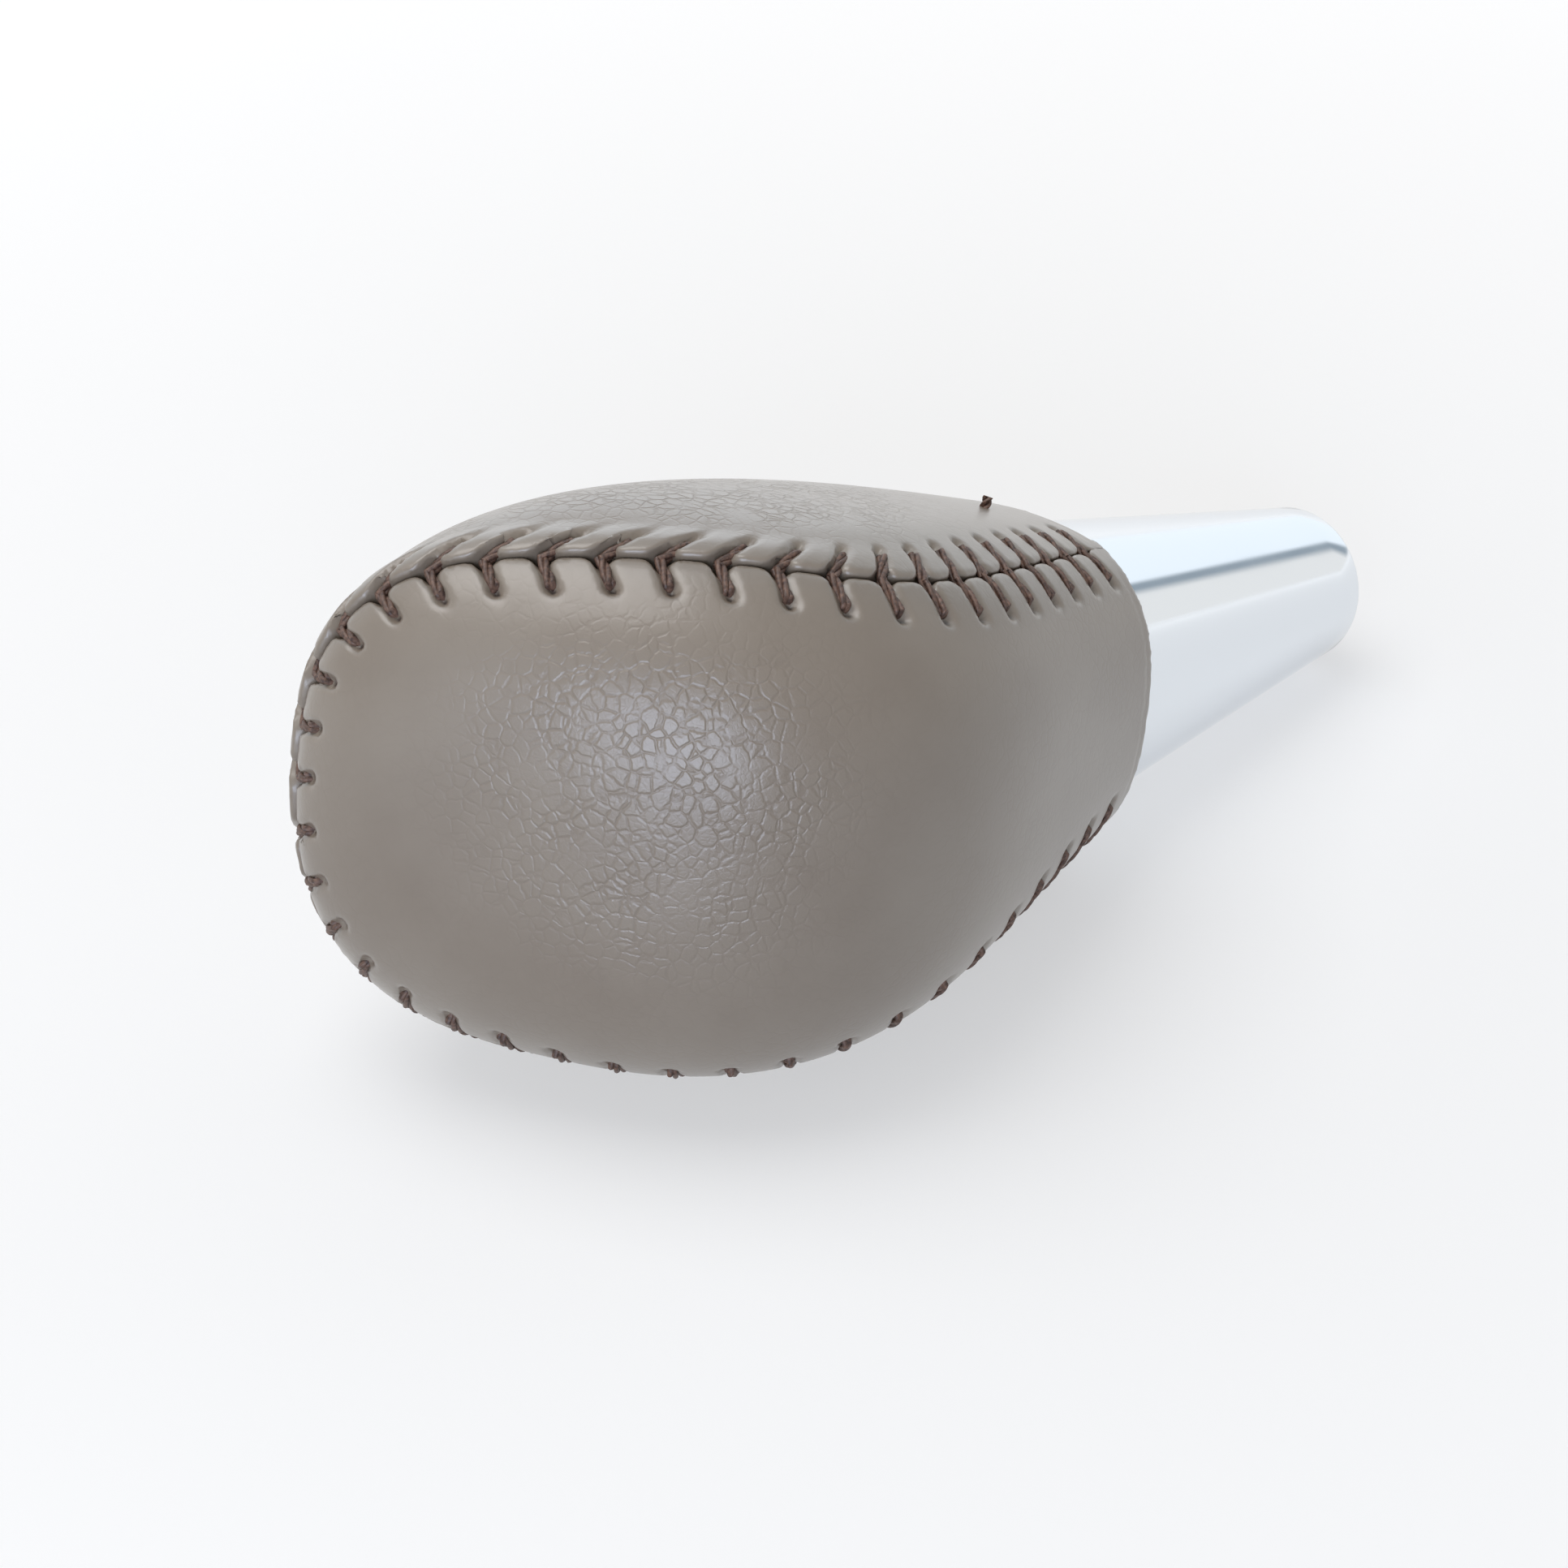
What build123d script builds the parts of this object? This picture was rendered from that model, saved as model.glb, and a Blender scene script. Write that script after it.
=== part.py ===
from build123d import *
import os
from math import atan2, cos, degrees, pi, radians, sin, tan

# A leather gear shift knob that lies on its side, as it does when it is off the lever.
# It is drawn along its own axis first and laid down at the end. Reach is the distance from
# the neck's mouth along that axis, forward is towards the front panel, and up is sideways
# on a fitted knob. Along is the distance from the leather's rim towards the top of the dome.

# Grip, over the leather
NECK_LENGTH = 46.0            # mouth of the neck to the leather's rim
HEAD_LENGTH = 67.0            # leather's rim to the middle of the dome
RIM_HALF_WIDTH = 15.3
RIM_FRONT = 15.2
RIM_BACK = 15.1
SIDE_DRAFT = 14.2             # degrees that each flank opens from the rim
FRONT_DRAFT = 14.2
BACK_DRAFT = 11.9
TOP_SLANT = 27.0              # degrees that the dome is turned to face the front
SQUARENESS = 2.6              # 2 is an oval section, more is a rounded square
DOME_BLUNTNESS = 3.2
LYING_ROLL = 5.0              # degrees that the front panel faces up where the knob lies
SECTION_POINTS = 16
SECTION_STEPS = (0, 0.2, 0.4, 0.57, 0.7, 0.8, 0.88, 0.94, 0.975, 0.993)

# Leather, and the two branches of its seam in side view: along and forward of each pole
LEATHER = 1.6
UPPER_SEAM = ((0.0, 7.4), (41.4, 18.5), (42.4, 26.3), (75.9, -25.5))
LOWER_SEAM = ((0.0, 13.0), (33.0, 22.0), (42.4, 26.3), (75.9, -25.5))
SEAM_GAP = 0.5
SEAM_RUN_OUT = 3.0            # how far the seam's groove runs on past the rim
EDGE_ROUND = 1.1              # turned edges of the leather, rolled down into the seam
EDGE_LIFT = 0.25              # how far over the leather's face the roll would end

# Stitches, two legs each, which bed into the leather
THREAD = 1.0
THREAD_SIDES = 6
LEG_LENGTH = 3.5              # seam to needle hole, square to the seam
FRONT_SLANT = 0.5             # crossing to front needle hole, along the seam towards the rim
REAR_SLANT = 2.4
THREAD_ROOM = 0.06            # room round the thread in its bed in the leather
THREAD_SINK = 0.35            # depth of the thread's middle under the leather's face
HOLE_SINK = 0.7               # the same where it goes into its needle hole
PITCH = 4.65
RIM_MARGIN = 4.4              # leather's rim to the first stitch

# Neck sleeve
MOUTH_RADIUS = 8.0
NECK_STEP = 1.9               # leather's face to the sleeve's face at the rim
SLEEVE_WALL = 1.6
MOUTH_ROUND = 0.6

# Stem of the core, and the threaded insert in it
STEM_FIT = 0.25               # room between the stem and the sleeve
STEM_RECESS = 12.0            # mouth of the neck to the stem's lower end
INSERT_RADIUS = 5.0
INSERT_LENGTH = 24.0
INSERT_GROOVE = 0.8           # depth and half width of the ring that the plastic grips
HOLE_RADIUS = 3.4             # core of an M8 thread
HOLE_DEPTH = 20.0
HOLE_LEAD = 0.8               # countersink at the start of the thread


def place(reach, forward, up):
    """A point of the drawing: the neck points to +X and the front panel faces -Y."""
    return Vector(-reach, -forward, up)


def lean(along):
    """How far a section of the grip leans towards the neck for each millimetre forward."""
    ramp = min(1.0, max(0.0, along / HEAD_LENGTH))
    return tan(radians(TOP_SLANT)) * ramp * ramp * (3 - 2 * ramp)


def grip_sizes(along, inset=0.0):
    """Half width, front and back of the grip's section: a drafted body closed by a dome."""
    filled = min(1.0, max(0.0, along / (HEAD_LENGTH - inset)))
    dome = (1 - filled ** DOME_BLUNTNESS) ** (1 / DOME_BLUNTNESS)
    sides = ((RIM_HALF_WIDTH, SIDE_DRAFT), (RIM_FRONT, FRONT_DRAFT), (RIM_BACK, BACK_DRAFT))
    return [(rim - inset + along * tan(radians(draft))) * dome for rim, draft in sides]


def rounded_square(power, count=SECTION_POINTS):
    """Points of a circle of radius 1, squared off by a power."""
    turns = [2 * pi * i / count for i in range(count)]
    squared = [(cos(t), sin(t)) for t in turns]
    return [[(1 if v > 0 else -1) * abs(v) ** (2 / power) for v in point] for point in squared]


def closed_curve(points):
    """Smooth loop with even parameters, so that all sections match along a loft."""
    knots = [i / len(points) for i in range(len(points) + 1)]
    return Wire([Edge.make_spline(points, periodic=True, parameters=knots)])


def grip_points(along, inset=0.0, count=SECTION_POINTS):
    """Points round a section of the grip."""
    half_width, front, back = grip_sizes(along, inset)
    points = []
    for c, s in rounded_square(SQUARENESS, count):
        forward = c * (front if c > 0 else back)
        points.append(place(NECK_LENGTH + along - lean(along) * forward, forward, half_width * s))
    return points


def grip(inset):
    """The grip's solid form, taken in by the inset."""
    length = HEAD_LENGTH - inset
    sections = [closed_curve(grip_points(length * step, inset)) for step in SECTION_STEPS]
    return Solid.make_loft(sections + [Vertex(place(NECK_LENGTH + length, 0, 0))])


def neck_section(reach, inset):
    """Outline of the neck: round at the mouth, a rounded square under the leather."""
    share = reach / NECK_LENGTH
    sizes = [
        MOUTH_RADIUS + (rim - NECK_STEP - MOUTH_RADIUS) * share - inset
        for rim in (RIM_HALF_WIDTH, RIM_FRONT, RIM_BACK)
    ]
    half_width, front, back = sizes
    power = 2 + (SQUARENESS - 2) * share
    points = []
    for c, s in rounded_square(power):
        points.append(place(reach, c * (front if c > 0 else back), half_width * s))
    return closed_curve(points)


def neck(start, inset, steps=3):
    """Solid form of the neck from a reach up to the leather's rim."""
    reaches = [start + (NECK_LENGTH - start) * i / steps for i in range(steps + 1)]
    return Solid.make_loft([neck_section(reach, inset) for reach in reaches])


def section_at(reach, forward):
    """Which section of the grip, by its distance along, passes through a point in side view."""
    along = reach - NECK_LENGTH
    for _ in range(12):
        along = reach - NECK_LENGTH + lean(along) * forward
    return along


def excess(point):
    """Below zero inside the grip, zero on its face and above zero outside."""
    half_width, front, back = grip_sizes(section_at(-point.X, -point.Y))
    depth = front if point.Y < 0 else back
    return abs(point.Z / half_width) ** SQUARENESS + abs(point.Y / depth) ** SQUARENESS - 1


def outward(point, step=0.02):
    """Gradient of excess, which points out of the grip's face."""
    steps = (Vector(step, 0, 0), Vector(0, step, 0), Vector(0, 0, step))
    return Vector(*[(excess(point + d) - excess(point - d)) / (2 * step) for d in steps])


def settle(point):
    """The point of the grip's face that lies nearest."""
    for _ in range(5):
        out = outward(point)
        point = point - out * (excess(point) / out.dot(out))
    return point


def seam_branch(poles, samples=240):
    """Points of a branch of the seam on the grip's upper half, from the rim up to the top."""
    curve = Bezier(*[place(NECK_LENGTH + along, forward, 0) for along, forward in poles])
    points = []
    for i in range(samples + 1):
        flat = curve @ (i / samples)
        half_width, front, back = grip_sizes(section_at(-flat.X, -flat.Y))
        room = 1 - abs(flat.Y / (front if flat.Y < 0 else back)) ** SQUARENESS
        if room <= 0:
            break
        points.append(Vector(flat.X, flat.Y, half_width * room ** (1 / SQUARENESS)))
    return points


def branch_stations(points):
    """The rim, then stitch crossings in turn with the lobes between them along a branch."""
    lengths = [(b - a).length for a, b in zip(points, points[1:])]
    room = sum(lengths) - RIM_MARGIN
    count = 2 * round(room / PITCH)
    distances = [0.0] + [RIM_MARGIN + room * i / count for i in range(count + 1)]
    stations, walked, i = [], 0.0, 0
    for distance in distances:
        while i < len(lengths) - 1 and walked + lengths[i] < distance:
            walked += lengths[i]
            i += 1
        step = points[i + 1] - points[i]
        stations.append(points[i] + step * ((distance - walked) / lengths[i]))
    return stations


def seam_stations():
    """Stations from rim to rim. Both branches end in the stitch that crosses the top."""
    upper = seam_branch(UPPER_SEAM)
    lower = seam_branch(LOWER_SEAM)
    top = settle(Vector(upper[-1].X, upper[-1].Y, 0))
    upper = branch_stations(upper + [top])
    lower = branch_stations(lower + [top])
    return upper + [Vector(p.X, p.Y, -p.Z) for p in reversed(lower[:-1])]


def seam_frames():
    """For each station: its point, the way along the seam to the nearer rim and that to the front."""
    points = seam_stations()
    top = min(range(len(points)), key=lambda i: points[i].X)
    frames = []
    for i, point in enumerate(points):
        run = points[max(0, i - 1)] - points[min(len(points) - 1, i + 1)]
        to_rim = run.normalized() * (1 if i <= top else -1)
        to_front = run.cross(outward(point)).normalized()
        frames.append((point, to_rim, to_front))
    return frames


def under_face(frame, across, slant, depth):
    """A point beside a station, across to the front and on to the rim, under the leather's face."""
    point, to_rim, to_front = frame
    base = settle(point + to_front * across + to_rim * slant)
    return base - outward(base).normalized() * depth


def groove_section(frame):
    """Outline that the seam takes out of the leather: a slot whose upper edges are rolled."""
    point, to_rim, to_front = frame
    out = outward(point).normalized()
    plane = Plane(origin=point, x_dir=to_front, z_dir=to_front.cross(out))
    wall = SEAM_GAP / 2
    foot = EDGE_LIFT - EDGE_ROUND
    half_turn = EDGE_ROUND * (1 - cos(radians(45)))
    edge = wall + EDGE_ROUND
    corners = [
        (wall, -2 * LEATHER), (wall, foot), (wall + half_turn, EDGE_LIFT - half_turn),
        (edge, EDGE_LIFT), (edge, LEATHER),
    ]
    front = [plane.from_local_coords(Vector(x, y, 0)) for x, y in corners]
    rear = [plane.from_local_coords(Vector(-x, y, 0)) for x, y in corners]
    return Wire([
        Edge.make_line(rear[0], front[0]),
        Edge.make_line(front[0], front[1]),
        Edge.make_three_point_arc(front[1], front[2], front[3]),
        Edge.make_line(front[3], front[4]),
        Edge.make_line(front[4], rear[4]),
        Edge.make_line(rear[4], rear[3]),
        Edge.make_three_point_arc(rear[3], rear[2], rear[1]),
        Edge.make_line(rear[1], rear[0]),
    ])


def leather_panels():
    """Front and rear leather, parted along the seam, with a bed for each leg of thread."""
    frames = seam_frames()
    first, last = [
        (point + to_rim * SEAM_RUN_OUT, to_rim, to_front)
        for point, to_rim, to_front in (frames[0], frames[-1])
    ]
    groove = Solid.make_loft([groove_section(frame) for frame in (first, *frames[1::2], last)])
    skin = grip(0) - grip(LEATHER) - groove
    beds = [stitch(frame, THREAD / 2 + THREAD_ROOM) for frame in frames[1::2]]
    return [panel - beds for panel in skin.solids().sort_by(Axis.Y)]


def stitch(frame, radius):
    """A length of thread from its front needle hole to its rear one, mitred in the seam."""
    front_hole = under_face(frame, LEG_LENGTH, FRONT_SLANT, HOLE_SINK)
    crossing = under_face(frame, 0, 0, THREAD_SINK)
    rear_hole = under_face(frame, -LEG_LENGTH, REAR_SLANT, HOLE_SINK)
    inward = (crossing - front_hole).normalized()
    onward = (rear_hole - crossing).normalized()
    mitre = inward + onward
    start = Plane(origin=front_hole, x_dir=frame[1], z_dir=inward)
    paths = []
    for i in range(THREAD_SIDES):
        turn = 2 * pi * i / THREAD_SIDES
        first = start.from_local_coords(Vector(radius * cos(turn), radius * sin(turn), 0))
        second = first + inward * ((crossing - first).dot(mitre) / inward.dot(mitre))
        third = second + onward * (rear_hole - second).dot(onward)
        paths.append((first, second, third))
    return Solid.make_loft([Wire.make_polygon(corners) for corners in zip(*paths)], ruled=True)


def seam_stitching():
    return Compound(children=[stitch(frame, THREAD / 2) for frame in seam_frames()[1::2]])


def neck_sleeve():
    """Plated sleeve, open right through."""
    body = neck(0, 0)
    mouth = body.edges().group_by(Axis.X)[-1]
    return fillet(mouth, MOUTH_ROUND) - neck(0, SLEEVE_WALL)


def in_stem(piece):
    """Puts a turned piece that was drawn up from the origin into the stem's lower end."""
    return Plane(origin=place(STEM_RECESS, 0, 0), z_dir=(-1, 0, 0)) * piece


def lever_insert():
    """Metal bush with a blind hole for the lever's thread, held by a ring groove."""
    middle = INSERT_LENGTH / 2
    neckline = INSERT_RADIUS - INSERT_GROOVE
    outline = Polyline(
        (0, HOLE_DEPTH), (HOLE_RADIUS, HOLE_DEPTH), (HOLE_RADIUS, HOLE_LEAD), (HOLE_RADIUS + HOLE_LEAD, 0),
        (INSERT_RADIUS, 0), (INSERT_RADIUS, middle - 2 * INSERT_GROOVE), (neckline, middle - INSERT_GROOVE),
        (neckline, middle + INSERT_GROOVE), (INSERT_RADIUS, middle + 2 * INSERT_GROOVE),
        (INSERT_RADIUS, INSERT_LENGTH), (0, INSERT_LENGTH), close=True,
    )
    return in_stem(revolve(Plane.XZ * make_face(outline), Axis.Z))


def grip_core():
    """Moulded core and its stem, with the room that the insert and its hole take up."""
    stem = neck(STEM_RECESS, SLEEVE_WALL + STEM_FIT)
    seat = (Align.CENTER, Align.CENTER, Align.MIN)
    hole = in_stem(Cylinder(HOLE_RADIUS, HOLE_DEPTH, align=seat))
    lead = in_stem(Cone(HOLE_RADIUS + HOLE_LEAD, HOLE_RADIUS, HOLE_LEAD, align=seat))
    return grip(LEATHER) + stem - lever_insert() - hole - lead


def lying_tilt(samples=200):
    """Degrees that the axis rises to the head when the flank and the neck's mouth both rest."""
    roll = radians(LYING_ROLL)
    rises = []
    for i in range(1, samples):
        for point in grip_points(HEAD_LENGTH * i / samples, count=120):
            depth = point.Y * sin(roll) - point.Z * cos(roll)
            rises.append(atan2(depth - MOUTH_RADIUS, -point.X))
    return degrees(max(rises))


def lay_down(pieces):
    """Tips the knob on to its side and puts the middle of its underside at the origin."""
    tip = Rot(0, lying_tilt(), 0) * Rot(-LYING_ROLL, 0, 0)
    tipped = {name: tip * piece for name, piece in pieces.items()}
    boxes = [piece.bounding_box() for piece in tipped.values()]
    box = boxes[0]
    for other in boxes[1:]:
        box = box.add(other)
    to_origin = Pos(-box.center().X, -box.center().Y, -box.min.Z)
    return {name: to_origin * piece for name, piece in tipped.items()}


def make_knob():
    front, rear = leather_panels()
    return lay_down({
        "front_leather": front,
        "rear_leather": rear,
        "seam_stitching": seam_stitching(),
        "grip_core": grip_core(),
        "neck_sleeve": neck_sleeve(),
        "lever_insert": lever_insert(),
    })


if __name__ == "__main__":
    os.makedirs("parts", exist_ok=True)
    for name, piece in make_knob().items():
        export_step(piece, f"parts/{name}.step")
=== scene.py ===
from math import cos, pi, radians, sin, tan

import bpy
import numpy as np
from mathutils import Matrix, Vector
from mathutils.kdtree import KDTree


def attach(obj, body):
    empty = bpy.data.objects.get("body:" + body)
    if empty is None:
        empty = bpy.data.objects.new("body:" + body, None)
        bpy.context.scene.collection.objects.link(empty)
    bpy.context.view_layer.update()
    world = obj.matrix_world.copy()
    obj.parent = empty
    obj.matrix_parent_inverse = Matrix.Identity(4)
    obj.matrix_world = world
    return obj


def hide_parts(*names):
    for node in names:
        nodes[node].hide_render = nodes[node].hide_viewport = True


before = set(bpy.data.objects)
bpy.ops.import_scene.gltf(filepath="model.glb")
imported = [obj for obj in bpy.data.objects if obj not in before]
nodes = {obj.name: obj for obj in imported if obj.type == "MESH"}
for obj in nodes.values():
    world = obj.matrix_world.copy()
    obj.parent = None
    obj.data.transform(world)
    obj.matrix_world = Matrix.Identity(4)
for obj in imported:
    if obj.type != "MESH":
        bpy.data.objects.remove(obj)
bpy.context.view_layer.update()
MM = 0.001

# Grip core
# The core is one moulding of black ABS with a stem that fills the neck. Only the stem's
# lower end shows, deep in the neck's mouth, and a dark line of it between the leather's edges.


def linear(colour):
    """Linear RGBA of an sRGB hex colour."""
    parts = [int(colour[i:i + 2], 16) / 255 for i in (1, 3, 5)]
    return [c / 12.92 if c < 0.04045 else ((c + 0.055) / 1.055) ** 2.4 for c in parts] + [1.0]


def add_node(material, kind, settings=None, **links):
    """Adds a shader node with its settings, and links its inputs, by name or as _0 by number."""
    node = material.node_tree.nodes.new("ShaderNode" + kind)
    for name, value in (settings or {}).items():
        if hasattr(node, str(name)):
            setattr(node, name, value)
        else:
            node.inputs[name].default_value = value
    for name, (source, output) in links.items():
        number = name[1:]
        socket = node.inputs[int(number) if number.isdigit() else name.replace("_", " ")]
        material.node_tree.links.new(source.outputs[output], socket)
    return node


def surface_of(name):
    """A new material with its Principled shader."""
    material = bpy.data.materials.new(name)
    material.use_nodes = True
    return material, material.node_tree.nodes["Principled BSDF"]


def finish_cad_node(node, material):
    """A CAD node that is shown as it is, in its own finish."""
    nodes[node].data.materials.clear()
    nodes[node].data.materials.append(material)


# Black ABS from a spark-eroded mould: a fine matt grit, drawn at 0.3 mm so that it shows
core_plastic, shader = surface_of("moulded_black_abs")
coords = add_node(core_plastic, "TexCoord")
grit = add_node(core_plastic, "TexNoise", {"Scale": 1 / (0.3 * MM)}, Vector=(coords, "Object"))
sparked = add_node(core_plastic, "Bump", {"Distance": 0.02 * MM, "Strength": 0.6}, Height=(grit, "Fac"))
core_plastic.node_tree.links.new(sparked.outputs["Normal"], shader.inputs["Normal"])
shader.inputs["Base Color"].default_value = linear("#26262a")
shader.inputs["Roughness"].default_value = 0.45
finish_cad_node("grip_core", core_plastic)

# Lever insert
# A turned brass bush, moulded into the stem. The gear lever's M8 thread screws into it, so the
# hole gets a thread of that pitch, cut by a tap.
HOLE_RADIUS = 3.4
HOLE_DEPTH = 20.0
STEM_RECESS = 12.0
THREAD_PITCH = 1.25
THREAD_HEIGHT = 0.55
THREAD_FLANK = 0.45 * THREAD_PITCH
THREAD_ROOT = 0.05            # sunk into the wall of the hole
THREAD_INSET = 1.5            # left free at either end of the hole
LYING_TILT = 10.679831530794596
LYING_ROLL = 5.0
NECK_MOUTH = Vector((57.8488, 0.9135, 7.8314))

# From the knob's own axes, where the neck points to +X and the front to -Y, to where it lies
LIE_DOWN = Matrix.Rotation(radians(LYING_TILT), 3, "Y") @ Matrix.Rotation(radians(-LYING_ROLL), 3, "X")
KNOB_TO_ROW = Matrix.Translation(NECK_MOUTH * MM) @ LIE_DOWN.to_4x4() @ Matrix.Scale(MM, 4)


def apply_modifier(piece, kind, **settings):
    """Adds a modifier with its settings to the active piece, and applies it."""
    modifier = piece.modifiers.new(kind.lower(), kind)
    for name, value in settings.items():
        setattr(modifier, name, value)
    bpy.ops.object.modifier_apply(modifier=modifier.name)


def as_finished(piece, material, replaced=()):
    """Gives a finished piece its material, and puts it on the knob in place of CAD nodes."""
    piece.data.materials.clear()
    piece.data.materials.append(material)
    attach(piece, "root")
    if replaced:
        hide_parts(*replaced)


# Turned brass keeps the fine rings of the lathe tool round its axis
TOOL_FEED = 0.2
brass, shader = surface_of("turned_brass")
coords = add_node(brass, "TexCoord")
on_axis = add_node(brass, "Mapping", {
    "vector_type": "TEXTURE", "Location": NECK_MOUTH * MM, "Rotation": LIE_DOWN.to_euler(),
}, Vector=(coords, "Object"))
rings = add_node(brass, "TexWave", {
    "wave_type": "RINGS", "rings_direction": "X",
    "Scale": 2 * pi / (20 * TOOL_FEED * MM), "Distortion": 0.4,
}, Vector=(on_axis, "Vector"))
turned = add_node(brass, "Bump", {"Distance": 0.01 * MM, "Strength": 0.5}, Height=(rings, "Fac"))
brass.node_tree.links.new(turned.outputs["Normal"], shader.inputs["Normal"])
shader.inputs["Base Color"].default_value = linear("#b08d57")
shader.inputs["Metallic"].default_value = 1.0
shader.inputs["Roughness"].default_value = 0.3
finish_cad_node("lever_insert", brass)

bpy.ops.object.select_all(action="DESELECT")
bpy.ops.mesh.primitive_circle_add(vertices=3, radius=THREAD_HEIGHT, rotation=(pi / 2, 0, 0))
thread_turns = bpy.context.object
thread_turns.name = "lever_insert_thread"
bpy.ops.object.transform_apply(location=False, rotation=True, scale=True)
root_radius = HOLE_RADIUS + THREAD_ROOT
profile = ((root_radius, -THREAD_FLANK), (root_radius, THREAD_FLANK), (HOLE_RADIUS - THREAD_HEIGHT, 0.0))
for vertex, (x, z) in zip(thread_turns.data.vertices, profile):
    vertex.co = (x, 0, z)
apply_modifier(
    thread_turns, "SCREW", axis="Z", screw_offset=THREAD_PITCH, steps=48, render_steps=48,
    iterations=int((HOLE_DEPTH - 2 * THREAD_INSET) / THREAD_PITCH),
)
bpy.ops.object.mode_set(mode="EDIT")
bpy.ops.mesh.select_all(action="DESELECT")
bpy.ops.mesh.select_non_manifold()
bpy.ops.mesh.edge_face_add()
bpy.ops.mesh.select_all(action="SELECT")
bpy.ops.mesh.normals_make_consistent(inside=False)
bpy.ops.object.mode_set(mode="OBJECT")
into_hole = Matrix.Translation((-STEM_RECESS - THREAD_INSET, 0, 0)) @ Matrix.Rotation(-pi / 2, 4, "Y")
thread_turns.data.transform(KNOB_TO_ROW @ into_hole)
as_finished(thread_turns, brass)

# Neck sleeve
# A thin tapered tube, drawn from steel and bright chrome plated, round at the mouth and a rounded
# square under the leather. It is pressed over the stem.
NECK_LENGTH = 46.0
MOUTH_RADIUS = 8.0
MOUTH_ROUND = 0.6
NECK_STEP = 1.9
SLEEVE_WALL = 1.6
RIM_HALF_WIDTH = 15.3
RIM_FRONT = 15.2
RIM_BACK = 15.1
SQUARENESS = 2.6
RING_POINTS = 160
OUTSIDE_RINGS = 12
LIP_TURNS = (0, 0.4, 0.8, 1.2, pi / 2)
INNER_ROUND = 0.3


def sleeve_ring(reach, inset):
    """Points of the sleeve's outline at a distance from its mouth, taken in by the inset."""
    share = reach / NECK_LENGTH
    half_width, front, back = [
        MOUTH_RADIUS + (rim - NECK_STEP - MOUTH_RADIUS) * share - inset
        for rim in (RIM_HALF_WIDTH, RIM_FRONT, RIM_BACK)
    ]
    power = 2 + (SQUARENESS - 2) * share
    points = []
    for i in range(RING_POINTS):
        turn = 2 * pi * i / RING_POINTS
        c, s = [(1 if v > 0 else -1) * abs(v) ** (2 / power) for v in (cos(turn), sin(turn))]
        points.append(KNOB_TO_ROW @ Vector((-reach, -c * (front if c > 0 else back), half_width * s)))
    return points


# Outside from the leather to the mouth, round its lip, and back up the inside
ring_stops = [(NECK_LENGTH * (1 - i / OUTSIDE_RINGS), 0.0) for i in range(OUTSIDE_RINGS)]
ring_stops += [(MOUTH_ROUND * (1 - sin(turn)), MOUTH_ROUND * (1 - cos(turn))) for turn in LIP_TURNS]
ring_stops += [(0.0, SLEEVE_WALL - INNER_ROUND), (INNER_ROUND, SLEEVE_WALL)]
ring_stops += [(NECK_LENGTH * 0.5, SLEEVE_WALL), (NECK_LENGTH, SLEEVE_WALL)]
bpy.ops.object.select_all(action="DESELECT")
bpy.ops.mesh.primitive_circle_add(vertices=RING_POINTS, radius=MOUTH_RADIUS * MM)
sleeve = bpy.context.object
sleeve.name = "chrome_neck_sleeve"
bpy.ops.object.mode_set(mode="EDIT")
for _ in ring_stops[1:]:
    bpy.ops.mesh.extrude_edges_move()
bpy.ops.object.mode_set(mode="OBJECT")
for ring, (reach, inset) in enumerate(ring_stops):
    for i, point in enumerate(sleeve_ring(reach, inset)):
        sleeve.data.vertices[ring * RING_POINTS + i].co = point
bpy.ops.object.mode_set(mode="EDIT")
bpy.ops.mesh.select_all(action="DESELECT")
bpy.ops.mesh.select_non_manifold()
bpy.ops.mesh.bridge_edge_loops()
bpy.ops.mesh.select_all(action="SELECT")
bpy.ops.mesh.normals_make_consistent(inside=False)
bpy.ops.object.mode_set(mode="OBJECT")
bpy.ops.object.shade_smooth_by_angle(angle=radians(40))

# Bright chrome mirrors the room with a faint blue cast, a little dulled where hands have wiped it
chrome, shader = surface_of("chrome_plating")
coords = add_node(chrome, "TexCoord")
wiped = add_node(chrome, "TexNoise", {"Scale": 1 / (9 * MM), "Detail": 5.0}, Vector=(coords, "Object"))
gloss = add_node(chrome, "MapRange", {
    "From Min": 0.35, "From Max": 0.75, "To Min": 0.07, "To Max": 0.14,
}, Value=(wiped, "Fac"))
chrome.node_tree.links.new(gloss.outputs["Result"], shader.inputs["Roughness"])
shader.inputs["Base Color"].default_value = linear("#e2e7ec")
shader.inputs["Metallic"].default_value = 1.0
as_finished(sleeve, chrome, ["neck_sleeve"])

# Leather cover
# Two panels of taupe cowhide, wetted, stretched over the core and glued, with their turned edges
# drawn together by the seam. The stitches pull the edges down, and the leather puffs up between them.
HEAD_LENGTH = 67.0
SIDE_DRAFT = 14.2
FRONT_DRAFT = 14.2
BACK_DRAFT = 11.9
TOP_SLANT = 27.0
DOME_BLUNTNESS = 3.2
UPPER_SEAM = np.array(((0.0, 7.4), (41.4, 18.5), (42.4, 26.3), (75.9, -25.5)))
LOWER_SEAM = np.array(((0.0, 13.0), (33.0, 22.0), (42.4, 26.3), (75.9, -25.5)))
PITCH = 4.65
RIM_MARGIN = 4.4
BRANCH_POINTS = 241
TREE_STEP = 0.1
MERGE = 0.004
VOXEL = 0.35
MOST_FACETS = 192000          # triangles in one panel


def lean(along):
    """How far a section of the head leans over, as a slope."""
    ramp = np.clip(along / HEAD_LENGTH, 0, 1)
    return tan(radians(TOP_SLANT)) * ramp * ramp * (3 - 2 * ramp)


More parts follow.
